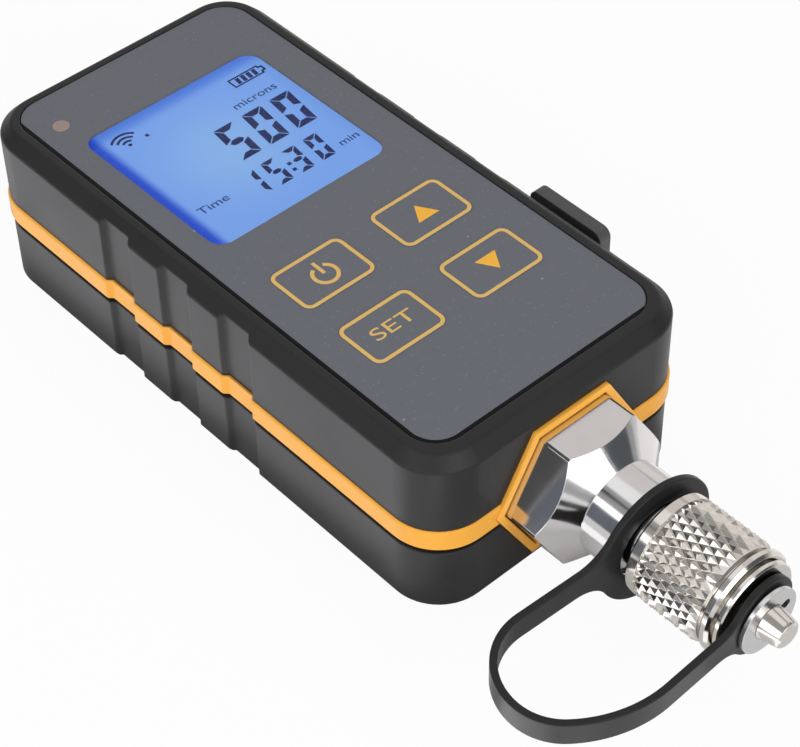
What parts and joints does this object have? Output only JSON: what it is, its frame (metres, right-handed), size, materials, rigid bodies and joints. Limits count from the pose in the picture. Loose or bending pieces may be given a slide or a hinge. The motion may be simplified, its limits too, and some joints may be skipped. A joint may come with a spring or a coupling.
{
  "type": "pirani vacuum gauge",
  "caption": "Pocket digital vacuum gauge: black case with orange seam band, backlit display, membrane keys and a steel flare inlet under a strapped, knurled screw cap.",
  "frame": {"origin": "centre of the housing back face, on which the gauge lies", "axes": "+X to the right of the display text, +Y towards the display end of the housing, +Z out of the display face; the inlet points along -Y"},
  "size_m": [0.0599, 0.1322, 0.027],
  "materials": {
    "case_black": "fine spark texture",
    "hook_black": "smooth",
    "band_orange": "satin",
    "label_film": "matte printed film",
    "lens_clear": "clear",
    "display_blue": "backlit",
    "guide_white": "clear white",
    "board_green": "solder mask",
    "screw_steel": "zinc plated",
    "switch_black": "moulded",
    "plunger_cream": "moulded",
    "pipe_pink": "diffusing",
    "led_white": "moulded",
    "shield_tin": "tin plated",
    "cell_wrap": "printed sleeve",
    "contact_nickel": "nickel plated",
    "fitting_steel": "polished",
    "seal_rubber": "moulded",
    "strap_rubber": "moulded",
    "nut_brass": "machined",
    "sensor_steel": "machined",
    "cap_nickel": "nickel plated",
    "clip_steel": "plated"
  },
  "bodies": {
    "gauge": {"front_case": "case_black", "rear_case": "case_black", "battery_door": "case_black", "side_hook": "hook_black", "seam_band": "band_orange", "hex_bezel": "band_orange", "face_label": "label_film", "display_lens": "lens_clear", "display_panel": "display_blue", "light_guide": "guide_white", "main_board": "board_green", "sensor_board": "board_green", "board_screws": "screw_steel", "door_screw": "screw_steel", "case_screws": "screw_steel", "hook_screws": "screw_steel", "key_switches": "switch_black", "status_pipe": "pipe_pink", "status_led": "led_white", "radio_module": "shield_tin", "battery_cells": "cell_wrap", "battery_contacts": "contact_nickel", "sensor_fitting": "fitting_steel", "fitting_gasket": "seal_rubber", "cap_strap": "strap_rubber", "fitting_nut": "nut_brass", "sensor_element": "sensor_steel"},
    "clip": {"strap_clip": "clip_steel"},
    "cap": {"flare_cap": "cap_nickel", "cap_seal": "seal_rubber"},
    "power_plunger": {"plunger_power": "plunger_cream"},
    "up_plunger": {"plunger_up": "plunger_cream"},
    "set_plunger": {"plunger_set": "plunger_cream"},
    "down_plunger": {"plunger_down": "plunger_cream"}
  },
  "joints": [
    {"name": "cap_travel", "type": "slide", "parent": "gauge", "child": "clip", "axis": [0, -1, 0], "range_m": [0, 0.00698], "deforming": ["cap_strap"]},
    {"name": "cap_turn", "type": "hinge", "parent": "clip", "child": "cap", "pos_m": [0, -0.07, 0.0127], "axis": [0, -1, 0], "range_deg": [0, 1980]},
    {"name": "power_press", "type": "slide", "parent": "gauge", "child": "power_plunger", "axis": [0, 0, -1], "range_m": [0, 0.00025], "stiffness_N_per_m": 400},
    {"name": "up_press", "type": "slide", "parent": "gauge", "child": "up_plunger", "axis": [0, 0, -1], "range_m": [0, 0.00025], "stiffness_N_per_m": 400},
    {"name": "set_press", "type": "slide", "parent": "gauge", "child": "set_plunger", "axis": [0, 0, -1], "range_m": [0, 0.00025], "stiffness_N_per_m": 400},
    {"name": "down_press", "type": "slide", "parent": "gauge", "child": "down_plunger", "axis": [0, 0, -1], "range_m": [0, 0.00025], "stiffness_N_per_m": 400}
  ],
  "couplings": [
    {"joint": "cap_turn", "follows": "cap_travel", "rad_per_m": 4947.4}
  ]
}
